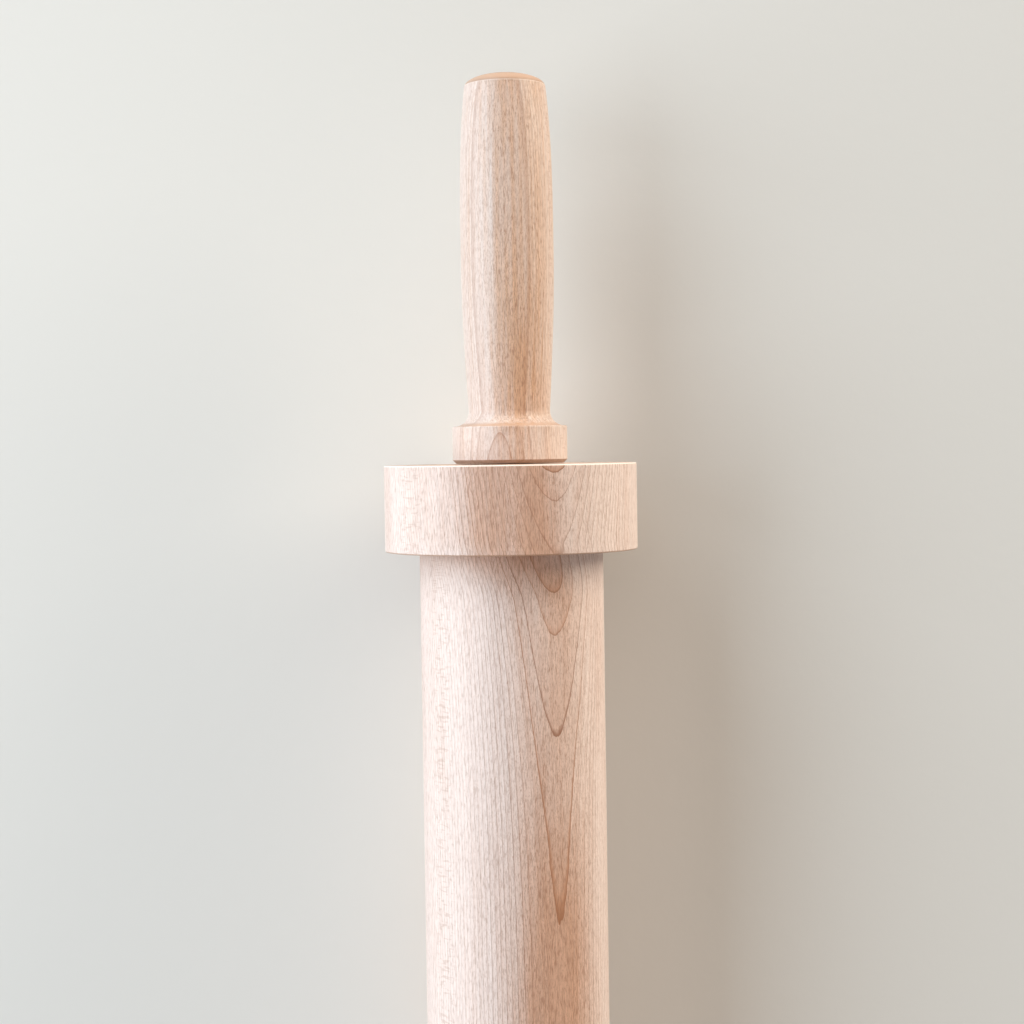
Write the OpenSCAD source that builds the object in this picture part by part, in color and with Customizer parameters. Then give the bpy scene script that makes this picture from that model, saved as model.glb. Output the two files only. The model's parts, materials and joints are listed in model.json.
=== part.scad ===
// Rolling pin: a turned barrel with a raised ring at each end runs on two ball bearings round a steel
// spindle, and a turned handle is screwed onto each end of the spindle.
// Lengths are in millimetres. The pin lies along X on its two raised ends, with Z up, and the origin is
// on the table under the middle of the pin. The right end is the one on +X.

/* [Barrel] */
// Length of the rolling surface between the raised ends
rolling_len = 254; // [180:1:400]
// Diameter of the rolling surface
rolling_d = 50.8; // [44:0.1:80]
// Height of the raised ends above the rolling surface, which sets the dough's thickness
dough_depth = 9.525; // [3:0.025:15]
// Length of each raised end
raised_len = 23.8; // [18:0.1:40]
// Radius of the eased edges of the raised ends
raised_edge_r = 0.5; // [0.2:0.1:1.5]
// Radius left in the corner where a raised end meets the rolling surface
raised_corner_r = 0.4; // [0.2:0.1:1.5]
// Bevel round the mouth of each bearing pocket
pocket_bevel = 0.6; // [0.2:0.1:1.5]

/* [Handle] */
// Length of a handle from the collar's face to the top of the crown
handle_len = 107.1; // [90:0.05:130]
// Diameter of the collar
collar_d = 31.75; // [29:0.05:36]
// Length of the collar
collar_len = 10.25; // [7:0.05:14]
// Bevel round the collar's face
collar_bevel = 1; // [0.4:0.1:2.5]
// Radius of the collar's edge on the grip side
collar_edge_r = 0.45; // [0.2:0.05:1]
// Width of the flat land between the collar's edge and the cove
collar_land = 0.1; // [0.1:0.1:1.2]
// Diameter of the waist
waist_d = 22.5; // [21:0.1:25]
// Diameter of the grip where it is widest
belly_d = 25.7; // [24:0.1:32]
// Distance of the widest place from the collar's face
belly_at = 55.6; // [40:0.05:70]
// Diameter of the crown's rim
crown_d = 22.4; // [18:0.1:24]
// Height of the domed crown above its rim
crown_h = 3.7; // [1.5:0.1:8]

/* [Spindle] */
// Height of the shoulder where a threaded end begins
thread_step = 0.775; // [0.4:0.025:1.2]
// Length of each threaded end inside its handle
thread_len = 20; // [12:0.5:28]
// Bevel on the spindle's edges
spindle_bevel = 0.5; // [0.2:0.1:1]
// Depth of a retaining ring's groove
ring_groove_depth = 0.6; // [0.3:0.05:1]
// Thickness of a retaining ring
ring_t = 1; // [0.6:0.05:1.5]
// Height by which a retaining ring stands above the spindle
ring_stand = 1.3; // [0.8:0.05:2]
// Angle of the gap in a retaining ring
ring_open_angle = 50; // [20:1:100]

/* [Ball bearing] */
// Bore of the bearing
bearing_bore = 9.525; // [9:0.025:10.5]
// Outer diameter of the bearing
bearing_od = 22.225; // [21:0.025:26]
// Width of the bearing
bearing_w = 7.142; // [6.2:0.001:9]
// Depth of the bearing's face below the barrel's end
bearing_recess = 2.4; // [1:0.1:6]
// Diameter of a ball as a share of the space between the bore and the outer diameter
ball_share = 0.625; // [0.55:0.005:0.66]
// Number of balls
ball_count = 7; // [6:1:8]
// Bevel on the races' edges
race_bevel = 0.4; // [0.1:0.05:0.6]
// Thickness of a shield
shield_t = 0.35; // [0.2:0.05:0.5]
// Depth of a shield's face below the bearing's face
shield_recess = 0.2; // [0.1:0.05:0.4]
// Depth of a shield's seat in the outer race's wall
shield_seat = 0.75; // [0.4:0.05:0.9]
// Depth of a shield's turned lip
shield_lip = 0.25; // [0.1:0.05:0.4]
// Thickness of the cage's sheet
cage_t = 0.35; // [0.2:0.05:0.5]
// Diameter of a cage rivet
rivet_d = 0.8; // [0.5:0.05:1]
// Diameter of a rivet's head
rivet_head_d = 1.3; // [1.1:0.05:1.5]
// Thickness of a rivet's head
rivet_head_t = 0.25; // [0.15:0.05:0.4]

/* [Handle insert] */
// Outer diameter of the threaded insert
insert_d = 12.7; // [11:0.1:15]
// Length of the threaded insert
insert_len = 18; // [12:0.5:26]
// Width of a glue groove round the insert
glue_groove_w = 2; // [1:0.1:3]
// Depth of a glue groove
glue_groove_depth = 0.5; // [0.2:0.05:0.8]
// Width of the driver slot across the insert's face
driver_slot_w = 1.6; // [1:0.1:2.5]
// Depth of the driver slot
driver_slot_depth = 1.4; // [0.8:0.1:2.5]

/* [Fits] */
// Distance by which the edge of the spacer stays inside the edge of the inner race
spacer_margin = 0.6; // [0.4:0.1:1.2]
// Clearance along the spindle between a retaining ring and its groove
ring_clearance = 0.1; // [0.05:0.05:0.3]
// Gap between a handle's collar and the barrel's end
running_gap = 0.2; // [0.15:0.05:3]
// Clearance on the radius where two pieces fit snugly
fit_clearance = 0.02; // [0.01:0.01:0.05]
// Clearance between a ball and the bottom of each race's groove
ball_clearance = 0.015; // [0.01:0.005:0.03]
// Clearance between a ball and its pocket in the cage
cage_clearance = 0.06; // [0.03:0.01:0.12]
// Gap between the cage and the shoulder of each race
cage_side_gap = 0.38; // [0.2:0.02:0.5]
// Gap between a shield's lip and the inner race
shield_gap = 0.2; // [0.1:0.05:0.4]
// Distance by which the spindle's shoulder stays short of the handle, so that the spacer is clamped
clamp_relief = 0.4; // [0.2:0.1:1]
// Free depth of the handle's hole past the end of the spindle
thread_tip_gap = 3; // [1:0.5:8]
// Clearance round the threaded end where the handle's hole goes on past the insert
thread_hole_clearance = 0.4; // [0.2:0.1:1]

/* [Hidden] */
$fn = 96;

// Slope with which the grip leaves the waist
waist_flare_share = 0.055;
// Power of the curve that draws the grip in towards the crown
shoulder_power = 3.3;
// Radius of the races' grooves as a share of the ball's diameter
groove_share = 0.52;
// Height of the races' shoulders as a share of the ball's diameter
race_shoulder_share = 0.19;
// Places of the glue grooves' middles along the insert
glue_groove_shares = [0.4, 0.75];
// Length by which a cutting shape runs past what it cuts
overrun = 1;

// Steps in the curved stretches of the outlines
edge_steps = 5;
cove_steps = 10;
grip_steps = 14;
crown_steps = 14;

// Barrel, measured from the pin's axis and from the middle of the pin
rolling_r = rolling_d / 2;
raised_r = rolling_r + dough_depth;
axis_z = raised_r;
rolling_end = rolling_len / 2;
barrel_end = rolling_end + raised_len;
collar_face = barrel_end + running_gap;

// Ball bearing
bearing_out_face = barrel_end - bearing_recess;
bearing_in_face = bearing_out_face - bearing_w;
bearing_middle = bearing_in_face + bearing_w / 2;
half_w = bearing_w / 2;
pitch_r = (bearing_bore + bearing_od) / 4;
ball_d = ball_share * (bearing_od - bearing_bore) / 2;
ball_r = ball_d / 2;
groove_r = groove_share * ball_d;
race_shoulder = race_shoulder_share * ball_d;
inner_land_r = pitch_r - ball_r + race_shoulder;
outer_land_r = pitch_r + ball_r - race_shoulder;
shield_seat_r = outer_land_r + shield_seat;
shield_seat_z = half_w - shield_recess - shield_t;
shield_in_r = inner_land_r + shield_gap;
spacer_r = inner_land_r - spacer_margin;
cage_in_r = inner_land_r + cage_side_gap;
cage_out_r = outer_land_r - cage_side_gap;
cup_in_r = ball_r + cage_clearance;
cup_out_r = cup_in_r + cage_t;
// The far side of a cup, where the cup's corners just reach the cage's outer edge
cup_far = sqrt(cage_out_r * cage_out_r - cup_out_r * cup_out_r);

// Barrel's bore, whose shoulder carries the outer race alone
barrel_bore_r = pitch_r;
pocket_r = bearing_od / 2 + fit_clearance;

// Spindle and retaining rings
spindle_r = bearing_bore / 2 - fit_clearance;
journal_end = collar_face - clamp_relief;
thread_r = spindle_r - thread_step;
thread_end = collar_face + thread_len;
ring_groove_r = spindle_r - ring_groove_depth;
ring_groove_out = bearing_in_face;
ring_groove_in = ring_groove_out - ring_t - ring_clearance;

// Handle, measured from its collar's face
collar_r = collar_d / 2;
waist_r = waist_d / 2;
belly_r = belly_d / 2;
crown_r = crown_d / 2;
insert_r = insert_d / 2;
cove_r = collar_r - collar_edge_r - collar_land - waist_r;
waist_at = collar_len + cove_r;
crown_at = handle_len - crown_h;

// Points of an arc round [r, z] from one angle to another
function arc(r, z, radius, from, to, steps) = [
    for (i = [0:steps])
        let (a = from + (to - from) * i / steps)
        [r + radius * cos(a), z + radius * sin(a)]
];

// An outline and its mirror image below zero, as one closed outline
function mirrored(half) = concat(half, [for (i = [len(half) - 1:-1:0]) [half[i][0], -half[i][1]]]);

// Radius of the grip between waist and belly, where t runs from 0 to 1
function rise_r(t) =
    waist_r
    + (belly_r - waist_r) * t * t * (3 - 2 * t)
    + waist_flare_share * (belly_at - waist_at) * t * (1 - t) * (1 - t);

// Radius of the grip between belly and crown, where t runs from 0 to 1
function shoulder_r(t) = belly_r - (belly_r - crown_r) * pow(t, shoulder_power);

barrel_half = concat(
    [
        [barrel_bore_r, bearing_in_face],
        [pocket_r, bearing_in_face],
        [pocket_r, barrel_end - pocket_bevel],
        [pocket_r + pocket_bevel, barrel_end]
    ],
    arc(raised_r - raised_edge_r, barrel_end - raised_edge_r, raised_edge_r, 90, 0, edge_steps),
    arc(raised_r - raised_edge_r, rolling_end + raised_edge_r, raised_edge_r, 0, -90, edge_steps),
    arc(rolling_r + raised_corner_r, rolling_end - raised_corner_r, raised_corner_r, 90, 180, edge_steps)
);

handle_outline = concat(
    [
        [0, 0],
        [collar_r - collar_bevel, 0],
        [collar_r, collar_bevel]
    ],
    arc(collar_r - collar_edge_r, collar_len - collar_edge_r, collar_edge_r, 0, 90, edge_steps),
    arc(waist_r + cove_r, waist_at, cove_r, 270, 180, cove_steps),
    [for (i = [1:grip_steps]) let (t = i / grip_steps) [rise_r(t), waist_at + (belly_at - waist_at) * t]],
    [for (i = [1:grip_steps]) let (t = i / grip_steps) [shoulder_r(t), belly_at + (crown_at - belly_at) * t]],
    [for (i = [1:crown_steps]) let (a = 90 * i / crown_steps) [crown_r * cos(a), crown_at + crown_h * sin(a)]]
);

spindle_half = [
    [spindle_r, ring_groove_in],
    [ring_groove_r, ring_groove_in],
    [ring_groove_r, ring_groove_out],
    [spindle_r, ring_groove_out],
    [spindle_r, journal_end - spindle_bevel],
    [spindle_r - spindle_bevel, journal_end],
    [thread_r, journal_end],
    [thread_r, thread_end - spindle_bevel],
    [thread_r - spindle_bevel, thread_end],
    [0, thread_end]
];

outer_race_half = [
    [outer_land_r, shield_seat_z],
    [shield_seat_r, shield_seat_z],
    [shield_seat_r, half_w],
    [bearing_od / 2 - race_bevel, half_w],
    [bearing_od / 2, half_w - race_bevel]
];

inner_race_half = [
    [bearing_bore / 2, half_w - race_bevel],
    [bearing_bore / 2 + race_bevel, half_w],
    [inner_land_r, half_w]
];

shield_outline = [
    [shield_in_r, shield_seat_z - shield_lip],
    [shield_in_r + shield_t, shield_seat_z - shield_lip],
    [shield_in_r + shield_t, shield_seat_z],
    [shield_seat_r, shield_seat_z],
    [shield_seat_r, shield_seat_z + shield_t],
    [shield_in_r, shield_seat_z + shield_t]
];

// Lays what is drawn round Z along the pin's axis, with z zero at the middle of the pin
module right_side() {
    translate([0, 0, axis_z]) rotate([0, 90, 0]) children();
}

// The same piece at the other end of the pin
module left_side() {
    translate([0, 0, axis_z]) rotate([0, -90, 0]) children();
}

// Repeats what is drawn on the x axis once for each ball, turned by a share of the balls' spacing
module round_the_bearing(turn_share) {
    for (i = [0:ball_count - 1])
        rotate([0, 0, 360 * (i + turn_share) / ball_count]) children();
}

module barrel() {
    color("#e6cfb2") right_side() rotate_extrude() polygon(mirrored(barrel_half));
}

module spindle() {
    color("#b9bcc0") right_side() rotate_extrude() polygon(mirrored(spindle_half));
}

module handle() {
    color("#e3c5a2") translate([0, 0, collar_face]) {
        difference() {
            rotate_extrude() polygon(handle_outline);
            translate([0, 0, -overrun]) cylinder(h = insert_len + overrun, r = insert_r + fit_clearance);
            cylinder(h = thread_len + thread_tip_gap, r = thread_r + thread_hole_clearance);
        }
    }
}

module handle_insert() {
    color("#c9a24a") translate([0, 0, collar_face]) {
        difference() {
            cylinder(h = insert_len, r = insert_r);
            translate([0, 0, -overrun]) cylinder(h = insert_len + 2 * overrun, r = thread_r + fit_clearance);
            // Glue grooves
            for (share = glue_groove_shares)
                translate([0, 0, share * insert_len - glue_groove_w / 2]) difference() {
                    cylinder(h = glue_groove_w, r = insert_r + overrun);
                    cylinder(h = glue_groove_w, r = insert_r - glue_groove_depth);
                }
            // Slot for the driver
            translate([-insert_r - overrun, -driver_slot_w / 2, -overrun])
                cube([insert_d + 2 * overrun, driver_slot_w, driver_slot_depth + overrun]);
        }
    }
}

module spacer() {
    color("#e8e6df") translate([0, 0, bearing_out_face]) {
        difference() {
            cylinder(h = bearing_recess + running_gap, r = spacer_r);
            translate([0, 0, -overrun])
                cylinder(h = bearing_recess + running_gap + 2 * overrun, r = spindle_r + fit_clearance);
        }
    }
}

module retaining_ring() {
    color("#5d6064") translate([0, 0, bearing_in_face - ring_t]) {
        rotate_extrude(angle = 360 - ring_open_angle)
            translate([ring_groove_r + fit_clearance, 0])
                square([spindle_r + ring_stand - ring_groove_r - fit_clearance, ring_t]);
    }
}

module outer_race() {
    color("#c3c6ca") translate([0, 0, bearing_middle]) {
        rotate_extrude() difference() {
            polygon(mirrored(outer_race_half));
            translate([pitch_r + ball_r + ball_clearance - groove_r, 0]) circle(r = groove_r);
        }
    }
}

module inner_race() {
    color("#c3c6ca") translate([0, 0, bearing_middle]) {
        rotate_extrude() difference() {
            polygon(mirrored(inner_race_half));
            translate([pitch_r - ball_r - ball_clearance + groove_r, 0]) circle(r = groove_r);
        }
    }
}

module balls() {
    color("#d9dcdf") translate([0, 0, bearing_middle]) {
        round_the_bearing(0) translate([pitch_r, 0, 0]) sphere(d = ball_d);
    }
}

// One half of the ribbon cage: a flat ring whose strip rises in a half-round cup over each ball
module cage_half() {
    difference() {
        union() {
            cylinder(h = cage_t, r = cage_out_r);
            round_the_bearing(0) intersection() {
                translate([cage_in_r, 0, 0]) rotate([0, 90, 0]) cylinder(h = cup_far - cage_in_r, r = cup_out_r);
                translate([cage_in_r, -cup_out_r, 0]) cube([cup_far - cage_in_r, 2 * cup_out_r, cup_out_r]);
            }
        }
        translate([0, 0, -overrun]) cylinder(h = cage_t + 2 * overrun, r = cage_in_r);
        round_the_bearing(0) translate([cage_in_r - overrun, 0, 0]) rotate([0, 90, 0])
            cylinder(h = cage_out_r - cage_in_r + 2 * overrun, r = cup_in_r);
        round_the_bearing(1 / 2) translate([pitch_r, 0, -overrun])
            cylinder(h = cage_t + 2 * overrun, r = rivet_d / 2 + fit_clearance);
    }
}

module outboard_cage() {
    color("#cbb88a") translate([0, 0, bearing_middle]) cage_half();
}

module inboard_cage() {
    color("#cbb88a") translate([0, 0, bearing_middle]) mirror([0, 0, 1]) cage_half();
}

module rivets() {
    color("#a9acb0") translate([0, 0, bearing_middle]) {
        round_the_bearing(1 / 2) translate([pitch_r, 0, 0]) {
            translate([0, 0, -cage_t]) cylinder(h = 2 * cage_t, d = rivet_d);
            translate([0, 0, cage_t]) cylinder(h = rivet_head_t, d = rivet_head_d);
            translate([0, 0, -cage_t - rivet_head_t]) cylinder(h = rivet_head_t, d = rivet_head_d);
        }
    }
}

module outboard_shield() {
    color("#aeb2b6") translate([0, 0, bearing_middle]) rotate_extrude() polygon(shield_outline);
}

module inboard_shield() {
    color("#aeb2b6") translate([0, 0, bearing_middle]) mirror([0, 0, 1]) rotate_extrude() polygon(shield_outline);
}

barrel();
spindle();
right_side() handle();  // right_handle
left_side() handle();  // left_handle
right_side() handle_insert();  // right_handle_insert
left_side() handle_insert();  // left_handle_insert
right_side() spacer();  // right_spacer
left_side() spacer();  // left_spacer
right_side() retaining_ring();  // right_retaining_ring
left_side() retaining_ring();  // left_retaining_ring
right_side() outer_race();  // right_bearing_outer_race
left_side() outer_race();  // left_bearing_outer_race
right_side() inner_race();  // right_bearing_inner_race
left_side() inner_race();  // left_bearing_inner_race
right_side() balls();  // right_bearing_balls
left_side() balls();  // left_bearing_balls
right_side() outboard_cage();  // right_bearing_outboard_cage
left_side() outboard_cage();  // left_bearing_outboard_cage
right_side() inboard_cage();  // right_bearing_inboard_cage
left_side() inboard_cage();  // left_bearing_inboard_cage
right_side() rivets();  // right_bearing_rivets
left_side() rivets();  // left_bearing_rivets
right_side() outboard_shield();  // right_bearing_outboard_shield
left_side() outboard_shield();  // left_bearing_outboard_shield
right_side() inboard_shield();  // right_bearing_inboard_shield
left_side() inboard_shield();  // left_bearing_inboard_shield
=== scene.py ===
# %% [markdown]
# # A maple rolling pin
#
# The pin is turned from hard maple. Its barrel has a raised ring at each end, so that dough is rolled to an
# even thickness, and it runs on two ball bearings round a steel spindle. A handle is screwed onto each end of
# the spindle.
#
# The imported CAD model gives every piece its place. This script keeps the metal pieces as they are and gives
# them better finishes. The three wooden pieces, which are all that shows from outside, are made again as
# smooth surfaces, because a turned curve should have no facets.
#
# Lengths are written in millimetres and turned into Blender's metres at the last step. The pin lies along X
# on its two raised rings, Z is up, and the origin is on the table under its middle.

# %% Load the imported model
import json

import bmesh
import bpy
import numpy as np
from mathutils import Matrix, Vector


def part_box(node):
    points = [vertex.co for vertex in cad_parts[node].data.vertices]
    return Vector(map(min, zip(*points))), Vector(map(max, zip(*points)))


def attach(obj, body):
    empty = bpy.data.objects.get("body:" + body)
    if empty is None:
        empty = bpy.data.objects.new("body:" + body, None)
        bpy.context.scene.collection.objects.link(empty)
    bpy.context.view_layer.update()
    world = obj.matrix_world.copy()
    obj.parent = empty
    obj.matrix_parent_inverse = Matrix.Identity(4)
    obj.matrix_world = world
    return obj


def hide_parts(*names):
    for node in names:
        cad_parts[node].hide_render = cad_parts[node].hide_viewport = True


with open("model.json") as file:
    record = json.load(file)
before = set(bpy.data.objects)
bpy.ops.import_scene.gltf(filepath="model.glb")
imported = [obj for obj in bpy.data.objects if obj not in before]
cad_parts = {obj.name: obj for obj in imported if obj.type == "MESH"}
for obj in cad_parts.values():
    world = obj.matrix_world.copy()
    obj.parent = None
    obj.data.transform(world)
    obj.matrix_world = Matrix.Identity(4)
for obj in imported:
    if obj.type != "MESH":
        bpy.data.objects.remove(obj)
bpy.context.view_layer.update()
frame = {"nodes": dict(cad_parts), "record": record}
mm = 0.001
print("nodes:", len(frame["nodes"]))

# %% [markdown]
# ## Sizes
#
# These are the same sizes that the CAD source uses. A turned piece needs only its outline, so each size is a
# radius or a place along the pin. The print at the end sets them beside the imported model's own corners.

# %% Sizes of the barrel, in millimetres
rolling_r = 25.4
raised_r = 34.925
axis_z = raised_r
rolling_end = 127.0
barrel_end = 150.8
raised_edge_r = 0.5
raised_corner_r = 0.4
pocket_r = 11.1325
pocket_floor = 141.258
pocket_bevel = 0.6
pocket_edge_r = 0.12
bore_r = 7.9375
bore_edge_r = 0.15

# %% Sizes of a handle, measured from its collar's face
collar_face = 151.0
handle_len = 107.1
collar_r = 15.875
collar_len = 10.25
collar_bevel = 1.0
bevel_edge_r = 0.15
bevel_edge_inset = 0.1
collar_edge_r = 0.45
collar_land = 0.1
waist_r = 11.25
belly_r = 12.85
belly_at = 55.6
crown_r = 11.2
crown_h = 3.7
insert_hole_r = 6.37
insert_bevel = 0.25
insert_len = 18.0
thread_hole_r = 4.3675
thread_hole_len = 23.0

cove_r = collar_r - collar_edge_r - collar_land - waist_r
waist_at = collar_len + cove_r
crown_at = handle_len - crown_h
waist_flare_share = 0.055
shoulder_power = 3.3

low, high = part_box("barrel")
print("barrel:", round(high.x / mm, 2), "mm to its end,", round(high.z / mm / 2, 3), "mm radius")
low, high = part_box("right_handle")
handle_r = (high.y - low.y) / mm / 2
print("handle:", round(high.x / mm - collar_face, 2), "mm long,", round(handle_r, 3), "mm radius")
print("grip: from the waist at", round(waist_at, 2), "to the crown at", round(crown_at, 2), "mm from the face")

# %% [markdown]
# ## Outlines
#
# A turner cuts a profile along the lathe's axis, so an outline here is a list of points, each a radius and a
# place along the axis. Arcs ease the edges. Long straight stretches get more points, with one just beside
# each corner. Smooth shading blends the light over each face, and the small face beside the corner keeps
# that blend away from the flat stretch.

# %% Helpers for outlines
def arc(centre_r, centre_at, radius, start, stop, steps):
    """Points of an arc: the centre plus the radius times (cos a, sin a), where a runs evenly from start to
    stop, in degrees."""
    a = np.radians(np.linspace(start, stop, steps + 1))
    return np.stack([centre_r + radius * np.cos(a), centre_at + radius * np.sin(a)], axis=1)


def resampled(outline, spacing, guard=0.06):
    """The same outline with more points. The length s along it is measured, the wanted places are every old
    point, a guard's length to each side of it, and even steps of the spacing, and the radius and the place
    along the axis are read off at each s by straight interpolation."""
    step = np.hypot(*np.diff(outline, axis=0).T)
    s = np.concatenate([[0.0], np.cumsum(step)])
    long = step > 4 * guard
    even = np.arange(spacing, s[-1], spacing)
    corner = np.searchsorted(s, even)
    next_corner = s[np.clip(corner, 0, len(s) - 1)]
    last_corner = s[np.clip(corner - 1, 0, len(s) - 1)]
    clear = (np.abs(even - next_corner) > 2 * guard) & (np.abs(even - last_corner) > 2 * guard)
    wanted = np.concatenate([s, s[:-1][long] + guard, s[1:][long] - guard, even[clear]])
    wanted = np.unique(np.round(wanted, 5))
    return np.stack([np.interp(wanted, s, outline[:, 0]), np.interp(wanted, s, outline[:, 1])], axis=1)

# %% The barrel's outline
barrel_spacing = 2.5
half = np.concatenate([
    [[bore_r, 0.0], [bore_r, pocket_floor - bore_edge_r]],
    arc(bore_r + bore_edge_r, pocket_floor - bore_edge_r, bore_edge_r, 180, 90, 3),
    [[pocket_r, pocket_floor], [pocket_r, barrel_end - pocket_bevel]],
    arc(pocket_r + pocket_bevel, barrel_end - pocket_edge_r, pocket_edge_r, 135, 90, 3),
    arc(raised_r - raised_edge_r, barrel_end - raised_edge_r, raised_edge_r, 90, 0, 8),
    arc(raised_r - raised_edge_r, rolling_end + raised_edge_r, raised_edge_r, 0, -90, 8),
    arc(rolling_r + raised_corner_r, rolling_end - raised_corner_r, raised_corner_r, 90, 180, 6),
])
other_half = half[:0:-1] * [1, -1]
barrel_outline = resampled(np.concatenate([half, other_half, half[:1]]), barrel_spacing)[:-1]
print("barrel outline:", len(barrel_outline), "points")

# %% [markdown]
# The grip swells from the waist to the belly and draws in again to the crown. From the waist, a smooth step
# raises the radius, and a small flare makes it leave the waist at a slope. From the belly, the radius falls
# with a power of the distance, so that it stays full for long and draws in late. The crown is half
# an ellipse.

# %% The grip's curves
grip_steps, crown_steps = 40, 25
t = np.linspace(0, 1, grip_steps)[1:]
rise = np.stack([
    waist_r + (belly_r - waist_r) * t * t * (3 - 2 * t)
    + waist_flare_share * (belly_at - waist_at) * t * (1 - t) ** 2,
    waist_at + (belly_at - waist_at) * t,
], axis=1)
shoulder = np.stack([
    belly_r - (belly_r - crown_r) * t ** shoulder_power,
    belly_at + (crown_at - belly_at) * t,
], axis=1)
a = np.radians(np.linspace(0, 90, crown_steps)[1:])
crown = np.stack([crown_r * np.cos(a), crown_at + crown_h * np.sin(a)], axis=1)
crown[-1, 0] = 0.0
print("grip:", len(rise) + len(shoulder), "points, crown:", len(crown), "points")

# %% [markdown]
# The whole outline starts at the bottom of the hole for the spindle's thread, comes out through the wider hole
# for the brass insert, goes up over the collar's bevelled edge and round the cove, and ends at the crown's
# middle.

# %% A handle's outline
handle_spacing = 2.0
handle_outline = np.concatenate([
    [[0.0, thread_hole_len], [thread_hole_r, thread_hole_len], [thread_hole_r, insert_len]],
    [[insert_hole_r, insert_len], [insert_hole_r, insert_bevel], [insert_hole_r + insert_bevel, 0.0]],
    arc(collar_r - collar_bevel - bevel_edge_inset, bevel_edge_r, bevel_edge_r, -90, -45, 3),
    arc(collar_r - bevel_edge_r, collar_bevel + bevel_edge_inset, bevel_edge_r, -45, 0, 3),
    arc(collar_r - collar_edge_r, collar_len - collar_edge_r, collar_edge_r, 0, 90, 8),
    arc(waist_r + cove_r, waist_at, cove_r, 270, 180, 20),
    rise,
    shoulder,
    crown,
])
handle_outline = resampled(handle_outline, handle_spacing) + [0.0, collar_face]
print("handle outline:", len(handle_outline), "points")

# %% [markdown]
# ## Turned surfaces
#
# Carrying the outline once round the axis gives the whole piece. The points form a grid, one row for each
# outline point and one column for each direction round the axis, and four neighbours make a face. A row on
# the axis has all its points in one place. They are merged, which closes the pole with triangles.
#
# The first line below says how near two points must be, in metres, to be merged.

# %% A turned surface
merge_distance = 1e-7


def turned(name, outline, side, spokes, ring_shaped):
    """A surface of revolution round the pin's axis. A point with radius r, at a place p along the axis and in
    direction a round it, lies at (side * p, side * r * sin a, axis_z + r * cos a). With side -1 the piece is
    turned half round the vertical, to the other end of the pin. A ring-shaped outline ends where it starts."""
    r, p = outline[:, 0], outline[:, 1]
    a = np.arange(spokes) * 2 * np.pi / spokes
    points = np.stack([
        side * np.repeat(p[:, None], spokes, axis=1),
        side * r[:, None] * np.sin(a),
        axis_z + r[:, None] * np.cos(a),
    ], axis=-1).reshape(-1, 3) * mm
    rows = len(outline)
    row, spoke = np.meshgrid(np.arange(rows if ring_shaped else rows - 1), np.arange(spokes), indexing="ij")
    next_row, next_spoke = (row + 1) % rows, (spoke + 1) % spokes
    faces = np.stack([
        row * spokes + spoke,
        row * spokes + next_spoke,
        next_row * spokes + next_spoke,
        next_row * spokes + spoke,
    ], axis=-1).reshape(-1, 4)
    mesh = bpy.data.meshes.new(name)
    mesh.from_pydata(points.tolist(), [], faces.tolist())
    work = bmesh.new()
    work.from_mesh(mesh)
    bmesh.ops.remove_doubles(work, verts=work.verts, dist=merge_distance)
    bmesh.ops.recalc_face_normals(work, faces=work.faces)
    work.to_mesh(mesh)
    work.free()
    mesh.shade_smooth()
    piece = bpy.data.objects.new(name, mesh)
    bpy.context.scene.collection.objects.link(piece)
    print(name + ":", len(mesh.vertices), "points,", len(mesh.polygons), "faces")
    return piece

# %% The three wooden pieces
barrel_spokes, handle_spokes = 192, 144
barrel = turned("turned_barrel", barrel_outline, 1, barrel_spokes, True)
right_handle = turned("turned_right_handle", handle_outline, 1, handle_spokes, False)
left_handle = turned("turned_left_handle", handle_outline, -1, handle_spokes, False)

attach(barrel, "barrel")
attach(right_handle, "handles")
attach(left_handle, "handles")
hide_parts("barrel")
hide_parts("right_handle")
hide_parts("left_handle")

# %% [markdown]
# ## Materials
#
# A material is a small tree of nodes. One helper adds a node, fills its sockets and links them, and another
# turns the sRGB hex colours that a colour picker shows into the linear values that Blender computes with.

# %% Helpers for materials
def linear(hex_colour, alpha=True):
    """The linear colour of an sRGB hex value: v / 12.92 up to 0.04045, and ((v + 0.055) / 1.055) ^ 2.4
    above. Without alpha it has three values, as a lamp's colour does."""
    v = np.array([int(hex_colour[i:i + 2], 16) for i in (1, 3, 5)]) / 255
    v = np.where(v <= 0.04045, v / 12.92, ((v + 0.055) / 1.055) ** 2.4)
    return (*v.tolist(), 1.0) if alpha else tuple(v.tolist())


def add(tree, kind, sockets=None, **settings):
    """Adds a node of a kind, applies its settings and fills its sockets. A value that is itself a socket is
    linked. It gives back the node's first output that is switched on."""
    node = tree.nodes.new(kind)
    for key, value in settings.items():
        setattr(node, key, value)
    for socket, value in (sockets or {}).items():
        if isinstance(value, bpy.types.NodeSocket):
            tree.links.new(value, node.inputs[socket])
        else:
            node.inputs[socket].default_value = value
    outputs = [o for o in node.outputs if o.enabled]
    return outputs[0] if outputs else node


def new_material(name):
    """A material with only its output node. Gives the material, its node tree and the output node."""
    material = bpy.data.materials.new(name)
    material.use_nodes = True
    tree = material.node_tree
    tree.nodes.clear()
    output = tree.nodes.new("ShaderNodeOutputMaterial")
    return material, tree, output

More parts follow.
